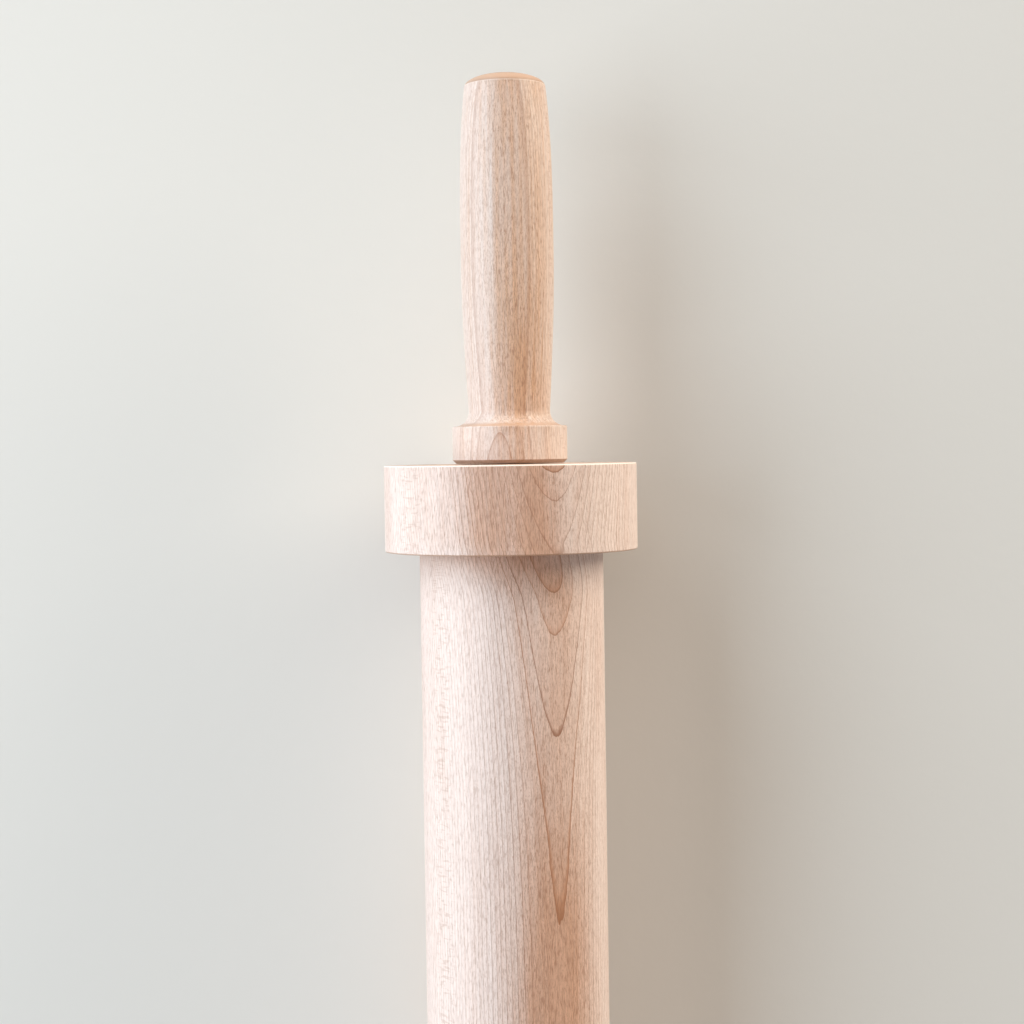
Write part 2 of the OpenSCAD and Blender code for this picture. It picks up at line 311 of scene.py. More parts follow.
# %% [markdown]
# ### Hard maple
#
# Hard maple is pale, with a pinkish cast. What the eye sees is thin brown lines where each year's growth ends,
# a darker band of late wood behind some of them, fine dashes of pores and rays, and a ripple of ray fleck
# where the surface runs along the rays. Brown mineral stains run with the grain.
#
# An image wrapped round the pin couldn't show the same ring on the rolling surface, on the raised ring and on
# the end. So the log itself is modelled: at every point in space the material works out how far it is from
# the tree's pith, counts the year rings up to there, and colours the wood by the place within a ring. The
# lathe's cut through the log then draws the arches by itself.
#
# The barrel's pith lies above the pin, beyond the surface. It comes nearer to the pin in a smooth bend towards
# the right end, and shifts sideways at the ring, which gives the arches their places and their width. The right
# handle's log is straight along the grip and bends at the collar. The left handle was cut from another board.

# %% The logs that the pieces were cut from, in millimetres
barrel_log = {
    "turn": 27.0,                   # direction in which the pith lies, in degrees from straight up
    "pith": 80.0,                   # distance from the pin's axis to the pith
    "lean": (0.158, 105.0, 30.0),   # slope that the pith reaches, and the place and softness of its bend
    "shift": (10.6, 114.0, 132.0),  # sideways shift of the pith, and the places between which it happens
    "mirror": 1.0,                  # -1 for the pin's left end, where the places are counted the other way
    "ring_width": 1.05,             # a year's growth where no ring's end is given
    "ring_ends": [                  # depths at which years end
        14.2, 15.3, 16.5, 17.6, 18.58, 19.61, 20.6, 21.65, 22.77, 23.74,
        24.83, 25.16, 25.78, 27.04, 28.7, 29.6, 39.76, 41.08, 41.96,
    ],
    "line": (0.26, 0.07, 0.85),     # width where the cut crosses the rings, width along them, and strength
    "late_wood": [                  # depths between which a band of late wood fades, and its strength
        (25.78, 25.97, 0.9), (28.7, 28.95, 0.5), (29.6, 29.93, 0.6), (41.96, 42.36, 0.7),
    ],
    "stains": [                     # places along, offsets across, half width and strengths at the two places
        ((12.0, 60.0), (0.5, 0.5), 20.0, (1.25, 0.42)),
        ((35.0, 10.0), (0.0, 0.0), 4.5, (0.0, 0.35)),
        ((112.0, 132.0), (4.5, 10.5), 18.0, (0.0, 0.62)),
        ((60.0, 150.0), (7.5, 12.8), 6.0, (0.2, 0.1)),
        ((95.0, 135.0), (0.0, -2.0), 9.0, (0.12, 0.42)),
    ],
    "colours": ("#ecddd8", "#cda792"),  # the pale wood and the brown of the stains
    "stripes": 0.4,                 # strength of the soft stripes along the grain
    "ray_offset": 35.0,             # distance by which the rays meet beyond the pith
    "end_grain_and_painted_light": [                  # colour, facing between which it comes in, strength, places between
        ("#fbf3ec", 0.2, 0.5, 0.8, 149.0, 150.79),     # painted highlight along the ring's outer edge
        ("#c4a68e", 0.9, 0.98, 0.6, 150.795, 152.0),   # end face
        ("#c69b7c", 0.15, 0.5, 0.6, 126.0, 128.0),     # edge where the ring meets the rolling surface: darker end grain and painted shade
    ],
    "seed": 3.0,                    # moves the slow wander of the rings
}
handle_log = {
    "turn": -10.0,
    "pith": 55.0,
    "lean": (-0.08, 165.0, -2.5),
    "shift": (0.0, 0.0, 1.0),
    "mirror": 1.0,
    "ring_width": 1.1,
    "ring_ends": [5.9, 6.8, 7.5, 8.4, 9.2, 13.4, 14.8, 16.3],
    "line": (0.5, 0.1, 0.4),
    "late_wood": [(16.3, 16.7, 0.3)],
    "stains": [
        ((156.0, 172.0), (-5.0, -6.5), 10.0, (0.3, 0.8)),
        ((175.0, 243.0), (-6.0, -6.8), 7.0, (0.0, -0.4)),
        ((170.0, 215.0), (-5.0, -4.0), 2.5, (0.3, 0.0)),
        ((157.0, 166.0), (-0.4, -0.4), 7.0, (0.0, 0.5)),
        ((180.0, 215.0), (-0.4, -0.4), 7.0, (0.0, -0.15)),
    ],
    "colours": ("#ddcec7", "#d0aa8e"),
    "stripes": 1.2,
    "ray_offset": 20.0,
    "end_grain_and_painted_light": [
        ("#a27f66", 0.5, 0.68, 0.6, 150.0, 154.0),     # painted shade on the collar's bevel and face, over darker end grain
        ("#c39a7c", 0.7, 0.93, 0.6, 155.0, 170.0),     # shelf above the collar
        ("#efe2da", 0.12, 0.2, 0.5, 245.0, 260.0),     # crown, from its rim to its middle; this first layer is a painted highlight on the rim
        ("#b18d75", 0.22, 0.4, 0.85, 245.0, 260.0),
        ("#d2ad93", 0.5, 0.75, 0.6, 245.0, 260.0),
        ("#a5816c", 0.92, 0.99, 0.6, 245.0, 260.0),
    ],
    "seed": 11.0,
}
other_handle_log = dict(
    handle_log, turn=154.0, pith=70.0, mirror=-1.0, seed=29.0,
    ring_ends=[7.9, 9.2, 10.1, 11.3, 12.5, 13.1, 14.4, 15.6],
)
for title, log in (("barrel", barrel_log), ("right handle", handle_log), ("left handle", other_handle_log)):
    print(title + ":", len(log["ring_ends"]), "ring ends,", len(log["stains"]), "stains")

# %% Maple colours
maple_line = "#8f5f45"
maple_late_wood = "#b9805a"
maple_pore = "#a5785f"
maple_ray = "#b5917f"
maple_quarter_and_sheen = "#f2eeec"       # paler wood and a painted sheen where the cut runs along the rays

# %% [markdown]
# With P the point in millimetres from the pin's axis, turned so that Z points to the pith:
#
# - the pith's bend is slope * softness * ln(1 + e ^ ((along - place) / softness)), which is a soft bend
# - the distance to the pith is the length of (across, pith - towards - bend)
# - the depth is the pith's own distance from the axis less that distance, so it grows towards the pith
#
# The exponent is held below a limit, past which the power would be too large a number.

# %% From the pin's axes to the log's
bend_limit = 60.0


def log_axes(tree, log, place):
    """Gives the turned point, its place along the grain and across it, how far short of the pith it lies, and
    the line between it and the pith."""
    from_axis = add(tree, "ShaderNodeMapping", {
        "Vector": place.outputs["Object"],
        "Location": (0, 0, -axis_z),
        "Scale": (log["mirror"] / mm, 1 / mm, 1 / mm),
    })
    in_log = add(tree, "ShaderNodeMapping", {
        "Vector": from_axis, "Rotation": (-np.radians(log["turn"]), 0, 0),
    })
    parts = add(tree, "ShaderNodeSeparateXYZ", {0: in_log}).node
    along, across, towards = parts.outputs

    slope, bend_at, softness = log["lean"]
    bend = add(tree, "ShaderNodeMath", {
        0: along, 1: 1 / softness, 2: -bend_at / softness,
    }, operation="MULTIPLY_ADD")
    bend = add(tree, "ShaderNodeMath", {0: bend, 1: bend_limit}, operation="MINIMUM")
    bend = add(tree, "ShaderNodeMath", {0: bend}, operation="EXPONENT")
    bend = add(tree, "ShaderNodeMath", {0: bend, 1: 1.0}, operation="ADD")
    bend = add(tree, "ShaderNodeMath", {0: bend, 1: float(np.e)}, operation="LOGARITHM")
    bend = add(tree, "ShaderNodeMath", {0: bend, 1: slope * softness}, operation="MULTIPLY")

    shift, shift_from, shift_to = log["shift"]
    shift = add(tree, "ShaderNodeMapRange", {
        "Value": along, "From Min": shift_from, "From Max": shift_to, "To Min": 0.0, "To Max": -shift,
    }, interpolation_type="SMOOTHSTEP")
    across = add(tree, "ShaderNodeMath", {0: across, 1: shift}, operation="ADD")
    to_pith = add(tree, "ShaderNodeMath", {0: towards, 1: bend}, operation="ADD")
    to_pith = add(tree, "ShaderNodeMath", {0: log["pith"], 1: to_pith}, operation="SUBTRACT")
    spoke = add(tree, "ShaderNodeCombineXYZ", {0: 0.0, 1: across, 2: to_pith})
    return in_log, along, across, to_pith, spoke

# %% [markdown]
# Growth isn't even, so a slow wander and a fine ripple move the rings by tenths of a millimetre. Each is a
# noise from 0 to 1, multiplied by its reach and centred on 0.

# %% The uneven depth
wander_size, wander_reach = (38, 11), 0.42      # millimetres along and across, and millimetres in depth
ripple_size, ripple_reach = (3.5, 1.2), 0.09
seed_step = 7


def per_mm(along, across):
    """The Mapping scale for a pattern that is so many millimetres long along the grain and wide across it."""
    return (1 / along, 1 / across, 1 / across)


def uneven_depth(tree, log, in_log, spoke):
    """Gives the depth: the pith's distance from the axis, less the point's from the pith, plus the wander and
    the ripple."""
    distance = add(tree, "ShaderNodeVectorMath", {0: spoke}, operation="LENGTH").node.outputs["Value"]
    slow = add(tree, "ShaderNodeMapping", {
        "Vector": in_log, "Location": (log["seed"] * seed_step, 0, 0), "Scale": per_mm(*wander_size),
    })
    slow = add(tree, "ShaderNodeTexNoise", {"Vector": slow, "Scale": 1.0, "Detail": 2.0})
    wander = add(tree, "ShaderNodeMath", {
        0: slow, 1: wander_reach, 2: -wander_reach / 2,
    }, operation="MULTIPLY_ADD")
    ripple = add(tree, "ShaderNodeMapping", {"Vector": in_log, "Scale": per_mm(*ripple_size)})
    ripple = add(tree, "ShaderNodeTexNoise", {"Vector": ripple, "Scale": 1.0, "Detail": 1.0})
    ripple = add(tree, "ShaderNodeMath", {
        0: ripple, 1: ripple_reach, 2: -ripple_reach / 2,
    }, operation="MULTIPLY_ADD")
    wander = add(tree, "ShaderNodeMath", {0: wander, 1: ripple}, operation="ADD")
    depth = add(tree, "ShaderNodeMath", {0: log["pith"], 1: distance}, operation="SUBTRACT")
    return add(tree, "ShaderNodeMath", {0: depth, 1: wander}, operation="ADD")

# %% [markdown]
# A cut along the rings, the rays or the fibres looks different from a cut across them, so the wood also needs
# to know how squarely the surface faces each. For the rings that is the part of the normal that points at the
# pith, for the rays the part that points at their own centre, a little beyond it, and for the end of the log
# the part along the grain. Each is 1 where the normal points that way and 0 where it stands square to it.

# %% How the surface lies in the log
def facings(tree, log, place, spoke):
    """Gives how squarely the surface faces the rings, the rays and the end of the log, from 0 to 1: the size of
    the dot product of the turned normal and the direction to the pith, to the rays' centre, or along."""
    turned_normal = add(tree, "ShaderNodeVectorRotate", {
        "Vector": place.outputs["Normal"], "Axis": (1.0, 0.0, 0.0), "Angle": -np.radians(log["turn"]),
    }, rotation_type="AXIS_ANGLE")
    outward = add(tree, "ShaderNodeVectorMath", {0: spoke, 1: (0.0, -1.0, 1.0)}, operation="MULTIPLY")
    outward = add(tree, "ShaderNodeVectorMath", {0: outward}, operation="NORMALIZE")
    facing_ring = add(tree, "ShaderNodeVectorMath", {0: turned_normal, 1: outward}, operation="DOT_PRODUCT")
    facing_ring = add(tree, "ShaderNodeMath", {0: facing_ring.node.outputs["Value"]}, operation="ABSOLUTE")
    to_rays = add(tree, "ShaderNodeVectorMath", {0: spoke, 1: (0.0, 0.0, log["ray_offset"])}, operation="ADD")
    to_rays = add(tree, "ShaderNodeVectorMath", {0: to_rays, 1: (0.0, -1.0, 1.0)}, operation="MULTIPLY")
    to_rays = add(tree, "ShaderNodeVectorMath", {0: to_rays}, operation="NORMALIZE")
    facing_rays = add(tree, "ShaderNodeVectorMath", {0: turned_normal, 1: to_rays}, operation="DOT_PRODUCT")
    facing_rays = add(tree, "ShaderNodeMath", {0: facing_rays.node.outputs["Value"]}, operation="ABSOLUTE")
    facing = add(tree, "ShaderNodeSeparateXYZ", {0: turned_normal}).node
    facing_end = add(tree, "ShaderNodeMath", {0: facing.outputs[0]}, operation="ABSOLUTE")
    return facing_ring, facing_rays, facing_end


def place_in_log(tree, log):
    """Gives everything that the wood's colours need to know about a point, by name."""
    place = add(tree, "ShaderNodeTexCoord").node
    in_log, along, across, to_pith, spoke = log_axes(tree, log, place)
    depth = uneven_depth(tree, log, in_log, spoke)
    facing_ring, facing_rays, facing_end = facings(tree, log, place, spoke)
    return {
        "in_log": in_log, "along": along, "across": across, "to_pith": to_pith, "depth": depth,
        "facing_ring": facing_ring, "facing_rays": facing_rays, "facing_end": facing_end,
    }

# %% [markdown]
# The year count is one for each ring end passed, with straight interpolation between two ends, and its
# fraction is the place within a year. A wide stretch without ends is shared out in years of the usual width.
# A year's line is thin where the surface runs along the ring and wider where it cuts across, and it is faint
# where the surface stands across the rings. Behind some of the lines lies a band of late wood, which fills the
# tip of the arch.

# %% The count of years
wide_stretch = 4        # in years of the usual width


def count_years(tree, log, depth):
    """Gives the years passed at a depth. Up to the first end they are 100 plus the depth from that end, in
    usual widths. Each stretch between two ends adds its years evenly, and after the last end each usual width
    adds one more."""
    ends, ring_width = log["ring_ends"], log["ring_width"]
    below = add(tree, "ShaderNodeMath", {0: depth, 1: ends[0]}, operation="MINIMUM")
    years = add(tree, "ShaderNodeMath", {
        0: below, 1: 1 / ring_width, 2: 100.0 - ends[0] / ring_width,
    }, operation="MULTIPLY_ADD")
    for inner, outer in zip(ends[:-1], ends[1:]):
        stretch = (outer - inner) / ring_width
        passed = max(1, round(stretch)) if outer - inner > wide_stretch * ring_width else 1
        step = add(tree, "ShaderNodeMapRange", {
            "Value": depth, "From Min": inner, "From Max": outer, "To Min": 0.0, "To Max": float(passed),
        })
        years = add(tree, "ShaderNodeMath", {0: years, 1: step}, operation="ADD")
    above = add(tree, "ShaderNodeMath", {0: depth, 1: ends[-1]}, operation="MAXIMUM")
    above = add(tree, "ShaderNodeMath", {
        0: above, 1: 1 / ring_width, 2: -ends[-1] / ring_width,
    }, operation="MULTIPLY_ADD")
    return add(tree, "ShaderNodeMath", {0: years, 1: above}, operation="ADD")

# %% The years' lines
faint_line = 0.3                # share of a line's strength where the surface stands across the rings
all_late, late_share = 0.16, 0.8    # tone of every year's late wood, and the share of the year that it takes


def year_lines(tree, log, spot):
    """Gives the strength of the years' lines and of the late wood, and each year's own tone."""
    depth = spot["depth"]
    years = count_years(tree, log, depth)
    year = add(tree, "ShaderNodeMath", {0: years}, operation="FLOOR")
    within = add(tree, "ShaderNodeMath", {0: years}, operation="FRACT")
    luck = add(tree, "ShaderNodeTexWhiteNoise", {"W": year}, noise_dimensions="1D").node

    across_width, along_width, line_strength = log["line"]
    width = add(tree, "ShaderNodeMapRange", {
        "Value": spot["facing_ring"], "From Min": 0.55, "From Max": 1.0,
        "To Min": across_width, "To Max": along_width,
    })
    line = add(tree, "ShaderNodeMapRange", {
        "Value": within, "From Min": 0.0, "From Max": width, "To Min": 1.0, "To Max": 0.0,
    }, interpolation_type="SMOOTHSTEP")
    strength = add(tree, "ShaderNodeMath", {0: luck.outputs["Value"], 1: 0.5, 2: 0.5}, operation="MULTIPLY_ADD")
    line = add(tree, "ShaderNodeMath", {0: line, 1: strength}, operation="MULTIPLY")
    fade = add(tree, "ShaderNodeMapRange", {
        "Value": spot["facing_ring"], "From Min": 0.2, "From Max": 0.85,
        "To Min": faint_line * line_strength, "To Max": line_strength,
    })
    line = add(tree, "ShaderNodeMath", {0: line, 1: fade}, operation="MULTIPLY")

    late = add(tree, "ShaderNodeMapRange", {
        "Value": within, "From Min": 0.0, "From Max": late_share, "To Min": all_late, "To Max": 0.0,
    })
    for start, stop, amount in log["late_wood"]:
        band = add(tree, "ShaderNodeMapRange", {
            "Value": depth, "From Min": start, "From Max": stop, "To Min": amount, "To Max": 0.0,
        })
        begun = add(tree, "ShaderNodeMath", {0: depth, 1: start}, operation="GREATER_THAN")
        band = add(tree, "ShaderNodeMath", {0: band, 1: begun}, operation="MULTIPLY")
        late = add(tree, "ShaderNodeMath", {0: late, 1: band}, operation="MAXIMUM")
    return {"line": line, "late": late, "own_tone": luck.outputs["Color"]}

# %% [markdown]
# Fibres run along the grain, with wider soft stripes among them, and pores are short dashes. Rays are thin
# sheets that point at the pith, so their noise reads (distance to the pith, angle round it, place along): it is
# long towards the pith and short the other ways. Real pores are a tenth of a millimetre wide and rays a
# twentieth, which would be too fine to show, so both are drawn about a quarter of a millimetre wide.

# %% Sizes of the fine grain, in millimetres along and across
fibre_size = (7, 0.35)
stripe_size = (80, 1.1)
pore_size = (2.1, 0.28)
cloud_size = (60, 9)
ray_deep, ray_thick, ray_long = 3.2, 0.28, 0.7

# %% The fine grain
def fine_grain(tree, log, spot):
    """Gives the fibre noise, soft stripes, the pores, the dark rays, a light and dark speckle and a cloud."""
    fibre = add(tree, "ShaderNodeMapping", {"Vector": spot["in_log"], "Scale": per_mm(*fibre_size)})
    fibre = add(tree, "ShaderNodeTexNoise", {"Vector": fibre, "Scale": 1.0, "Detail": 2.0, "Roughness": 0.6})
    stripe = add(tree, "ShaderNodeMapping", {"Vector": spot["in_log"], "Scale": per_mm(*stripe_size)})
    stripe = add(tree, "ShaderNodeTexNoise", {"Vector": stripe, "Scale": 1.0, "Detail": 1.0})
    pore = add(tree, "ShaderNodeMapping", {"Vector": spot["in_log"], "Scale": per_mm(*pore_size)})
    pore = add(tree, "ShaderNodeTexNoise", {"Vector": pore, "Scale": 1.0, "Detail": 1.0})
    pores = add(tree, "ShaderNodeMapRange", {
        "Value": pore, "From Min": 0.46, "From Max": 0.34, "To Min": 0.0, "To Max": 1.0,
    }, interpolation_type="SMOOTHSTEP")
    to_pith = add(tree, "ShaderNodeMath", {0: spot["to_pith"], 1: log["ray_offset"]}, operation="ADD")
    round_pith = add(tree, "ShaderNodeMath", {0: spot["across"], 1: to_pith}, operation="ARCTAN2")
    round_pith = add(tree, "ShaderNodeMath", {
        0: round_pith, 1: (log["pith"] + log["ray_offset"]) / ray_thick,
    }, operation="MULTIPLY")
    ray = add(tree, "ShaderNodeMath", {0: to_pith, 1: 1 / ray_deep}, operation="MULTIPLY")
    ray_along = add(tree, "ShaderNodeMath", {0: spot["along"], 1: 1 / ray_long}, operation="MULTIPLY")
    ray = add(tree, "ShaderNodeCombineXYZ", {0: ray, 1: round_pith, 2: ray_along})
    ray = add(tree, "ShaderNodeTexNoise", {"Vector": ray, "Scale": 1.0, "Detail": 1.0})
    rays = add(tree, "ShaderNodeMapRange", {
        "Value": ray, "From Min": 0.54, "From Max": 0.66, "To Min": 0.0, "To Max": 1.0,
    }, interpolation_type="SMOOTHSTEP")
    speckle = add(tree, "ShaderNodeMath", {0: pore, 1: fibre}, operation="ADD")
    speckle = add(tree, "ShaderNodeMapRange", {
        "Value": speckle, "From Min": 0.7, "From Max": 1.3, "To Min": -1.0, "To Max": 1.0,
    })
    cloud = add(tree, "ShaderNodeMapping", {"Vector": spot["in_log"], "Scale": per_mm(*cloud_size)})
    cloud = add(tree, "ShaderNodeTexNoise", {"Vector": cloud, "Scale": 1.0, "Detail": 2.0})
    return {"fibre": fibre, "stripe": stripe, "pores": pores, "rays": rays, "speckle": speckle, "cloud": cloud}

# %% [markdown]
# The ground colour goes from pale to brown. A mineral stain is a soft stripe along the grain: its middle and
# its strength move evenly from one place along the pin to another, and it fades to nothing at its half width.

# %% The ground colour
cloud_tone = 0.7                # how far the cloud moves the brownness


def ground_colour(tree, log, spot, grain):
    """Gives the brownness, from 0 to 1, and the colour mixed by it. The brownness is the cloud plus the
    stripes plus, for each stain, its strength times a soft step that falls from its middle to its half
    width."""
    brown = add(tree, "ShaderNodeMath", {
        0: grain["cloud"], 1: cloud_tone, 2: -cloud_tone / 2,
    }, operation="MULTIPLY_ADD")
    stripes = add(tree, "ShaderNodeMath", {
        0: grain["stripe"], 1: log["stripes"], 2: -0.5 * log["stripes"],
    }, operation="MULTIPLY_ADD")
    brown = add(tree, "ShaderNodeMath", {0: brown, 1: stripes}, operation="ADD")
    for places, offsets, half_width, strengths in log["stains"]:
        middle = add(tree, "ShaderNodeMapRange", {
            "Value": spot["along"], "From Min": places[0], "From Max": places[1],
            "To Min": offsets[0], "To Max": offsets[1],
        })
        off = add(tree, "ShaderNodeMath", {0: spot["across"], 1: middle}, operation="SUBTRACT")
        off = add(tree, "ShaderNodeMath", {0: off}, operation="ABSOLUTE")
        stain = add(tree, "ShaderNodeMapRange", {
            "Value": off, "From Min": half_width, "From Max": 0.0, "To Min": 0.0, "To Max": 1.0,
        }, interpolation_type="SMOOTHSTEP")
        amount = add(tree, "ShaderNodeMapRange", {
            "Value": spot["along"], "From Min": places[0], "From Max": places[1],
            "To Min": strengths[0], "To Max": strengths[1],
        })
        brown = add(tree, "ShaderNodeMath", {0: stain, 1: amount, 2: brown}, operation="MULTIPLY_ADD")
    brown = add(tree, "ShaderNodeMath", {0: brown, 1: 0.0}, operation="ADD", use_clamp=True)
    pale_colour, brown_colour = log["colours"]
    colour = add(tree, "ShaderNodeMix", {
        "Factor": brown, 6: linear(pale_colour), 7: linear(brown_colour),
    }, data_type="RGBA").node.outputs[2]
    return brown, colour

# %% [markdown]
# Over the ground colour come each year's own tone and a speckle, and then five layers: the paler wood and a
# painted sheen where the cut runs along the rays, the late wood, the rays, the pores and the years' lines. Rays
# show as short dashes where the cut crosses them and as flecks where it runs along them, and all the dashes are
# stronger in brown wood.

# %% The marks of growth
darkest_year, lightest_year = 0.97, 1.03
speckle_pale, speckle_brown = 0.08, 0.1     # strength in pale wood, and what brown wood adds
dash_pale, dash_brown = 0.5, 0.7            # the same for the rays and the pores
# the second is the strength of the paler wood and painted sheen where the cut runs along the rays
fleck_tone, quarter_and_sheen_tone = 0.5, 0.1
ray_tone, pore_tone = 0.6, 0.5


def marked_colour(tree, spot, year, grain, brown, colour):
    """Gives the colour with the marks laid over it, each mixed in by its own strength."""
    own_tone = add(tree, "ShaderNodeMapRange", {
        "Value": year["own_tone"], "From Min": 0.0, "From Max": 1.0,
        "To Min": darkest_year, "To Max": lightest_year,
    })
    contrast = add(tree, "ShaderNodeMath", {
        0: brown, 1: speckle_brown, 2: speckle_pale,
    }, operation="MULTIPLY_ADD")
    shade = add(tree, "ShaderNodeMath", {
        0: grain["speckle"], 1: contrast, 2: own_tone,
    }, operation="MULTIPLY_ADD")
    colour = add(tree, "ShaderNodeVectorMath", {0: colour, 3: shade}, operation="SCALE")
    contrast = add(tree, "ShaderNodeMath", {
        0: brown, 1: dash_brown, 2: dash_pale,
    }, operation="MULTIPLY_ADD", use_clamp=True)
    fleck = add(tree, "ShaderNodeMapRange", {
        "Value": spot["facing_rays"], "From Min": 0.04, "From Max": 0.24, "To Min": fleck_tone, "To Max": 0.0,
    }, interpolation_type="SMOOTHSTEP")
    # paler wood and a painted sheen where the cut runs along the rays
    pale = add(tree, "ShaderNodeMapRange", {
        "Value": spot["facing_rays"], "From Min": 0.1, "From Max": 0.4, "To Min": quarter_and_sheen_tone, "To Max": 0.0,
    }, interpolation_type="SMOOTHSTEP")
    ray_amount = add(tree, "ShaderNodeMath", {0: contrast, 1: spot["facing_rays"]}, operation="MULTIPLY")
    ray_amount = add(tree, "ShaderNodeMath", {0: ray_amount, 1: fleck}, operation="MAXIMUM")
    ray_amount = add(tree, "ShaderNodeMath", {0: ray_amount, 1: grain["rays"]}, operation="MULTIPLY")
    pore_amount = add(tree, "ShaderNodeMath", {0: grain["pores"], 1: contrast}, operation="MULTIPLY")
    for amount, strongest, hex_colour in (
        (pale, 1.0, maple_quarter_and_sheen),
        (year["late"], 1.0, maple_late_wood),
        (ray_amount, ray_tone, maple_ray),
        (pore_amount, pore_tone, maple_pore),
        (year["line"], 1.0, maple_line),
    ):
        amount = add(tree, "ShaderNodeMath", {0: amount, 1: strongest}, operation="MULTIPLY")
        colour = add(tree, "ShaderNodeMix", {
            "Factor": amount, 6: colour, 7: linear(hex_colour),
        }, data_type="RGBA").node.outputs[2]
    return colour

# %% [markdown]
# End grain drinks more oil, so it is darker than the sides. Some layers are painted light rather than wood: a
# painted highlight along the ring's outer edge and on the crown's rim, and painted shade on the collar's bevel
# and at the edge where the ring meets the rolling surface. Each layer has a stretch of the pin where it lies
# and a range of slopes over which it comes in.

# %% The end grain and painted light
def end_grain_and_painted_light_colour(tree, log, spot, colour):
    """Gives the colour with the layers of end grain, painted highlight and painted shade over it. A layer's
    strength is a soft step of how squarely the surface faces the end of the log, times 1 inside the layer's
    stretch and 0 outside it."""
    for hex_colour, start, stop, amount, first, last in log["end_grain_and_painted_light"]:
        end = add(tree, "ShaderNodeMapRange", {
            "Value": spot["facing_end"], "From Min": start, "From Max": stop, "To Min": 0.0, "To Max": amount,
        }, interpolation_type="SMOOTHSTEP")
        off = add(tree, "ShaderNodeMath", {0: spot["along"]}, operation="ABSOLUTE")
        off = add(tree, "ShaderNodeMath", {
            0: off, 1: (first + last) / 2, 2: (last - first) / 2,
        }, operation="COMPARE")
        end = add(tree, "ShaderNodeMath", {0: end, 1: off}, operation="MULTIPLY")
        colour = add(tree, "ShaderNodeMix", {
            "Factor": end, 6: colour, 7: linear(hex_colour),
        }, data_type="RGBA").node.outputs[2]
    return colour

# %% [markdown]
# The wood is sanded smooth and oiled, which leaves a satin sheen and open pores. Wood has an IOR of about 1.5.
# A bump lets the fibres stand up and the pores sink in by less than a tenth of a millimetre.

# %% The maple
wood_ior = 1.5
smoothest, roughest = 0.42, 0.52
relief_mm, pore_depth = 0.08, 0.7       # height of the fibres, and the pores' depth as a share of it


def maple(name, log):
    """Solid maple, coloured by the point's place in the log, with sunken pores and raised fibres."""
    material, tree, output = new_material(name)
    spot = place_in_log(tree, log)
    year = year_lines(tree, log, spot)
    grain = fine_grain(tree, log, spot)
    brown, colour = ground_colour(tree, log, spot, grain)
    colour = marked_colour(tree, spot, year, grain, brown, colour)
    # end grain, with painted highlights on the edges and painted shade on the collar's bevel
    colour = end_grain_and_painted_light_colour(tree, log, spot, colour)
    height = add(tree, "ShaderNodeMath", {
        0: grain["pores"], 1: -pore_depth, 2: grain["fibre"],
    }, operation="MULTIPLY_ADD")
    relief = add(tree, "ShaderNodeBump", {"Strength": 0.35, "Distance": relief_mm * mm, "Height": height})
    roughness = add(tree, "ShaderNodeMapRange", {
        "Value": grain["fibre"], "From Min": 0.3, "From Max": 0.7, "To Min": smoothest, "To Max": roughest,
    })
    wood = add(tree, "ShaderNodeBsdfPrincipled", {
        "Base Color": colour, "Roughness": roughness, "Normal": relief, "IOR": wood_ior,
    })
    tree.links.new(wood, output.inputs["Surface"])
    print(name + ":", len(tree.nodes), "nodes")
    return material


barrel.data.materials.append(maple("oiled_maple_barrel", barrel_log))
right_handle.data.materials.append(maple("oiled_maple_right_handle", handle_log))
left_handle.data.materials.append(maple("oiled_maple_left_handle", other_handle_log))

# %% [markdown]
# ### Metal pieces and the spacers
#
# The spindle, the bearings' races, the brass inserts and the acetal spacers were turned or ground, so their
# marks run round the axis, and the balls and pressed sheets shine or dull in the same way. Noise that is very
# fine along the axis and long round it gives those marks. The distance from the axis stands in for one
# direction and the direction round it for another, so the marks follow the lathe on every face.

# %% Turned metals and the spacers' plastic
round_scale, stain_scale = 3.0, 0.35


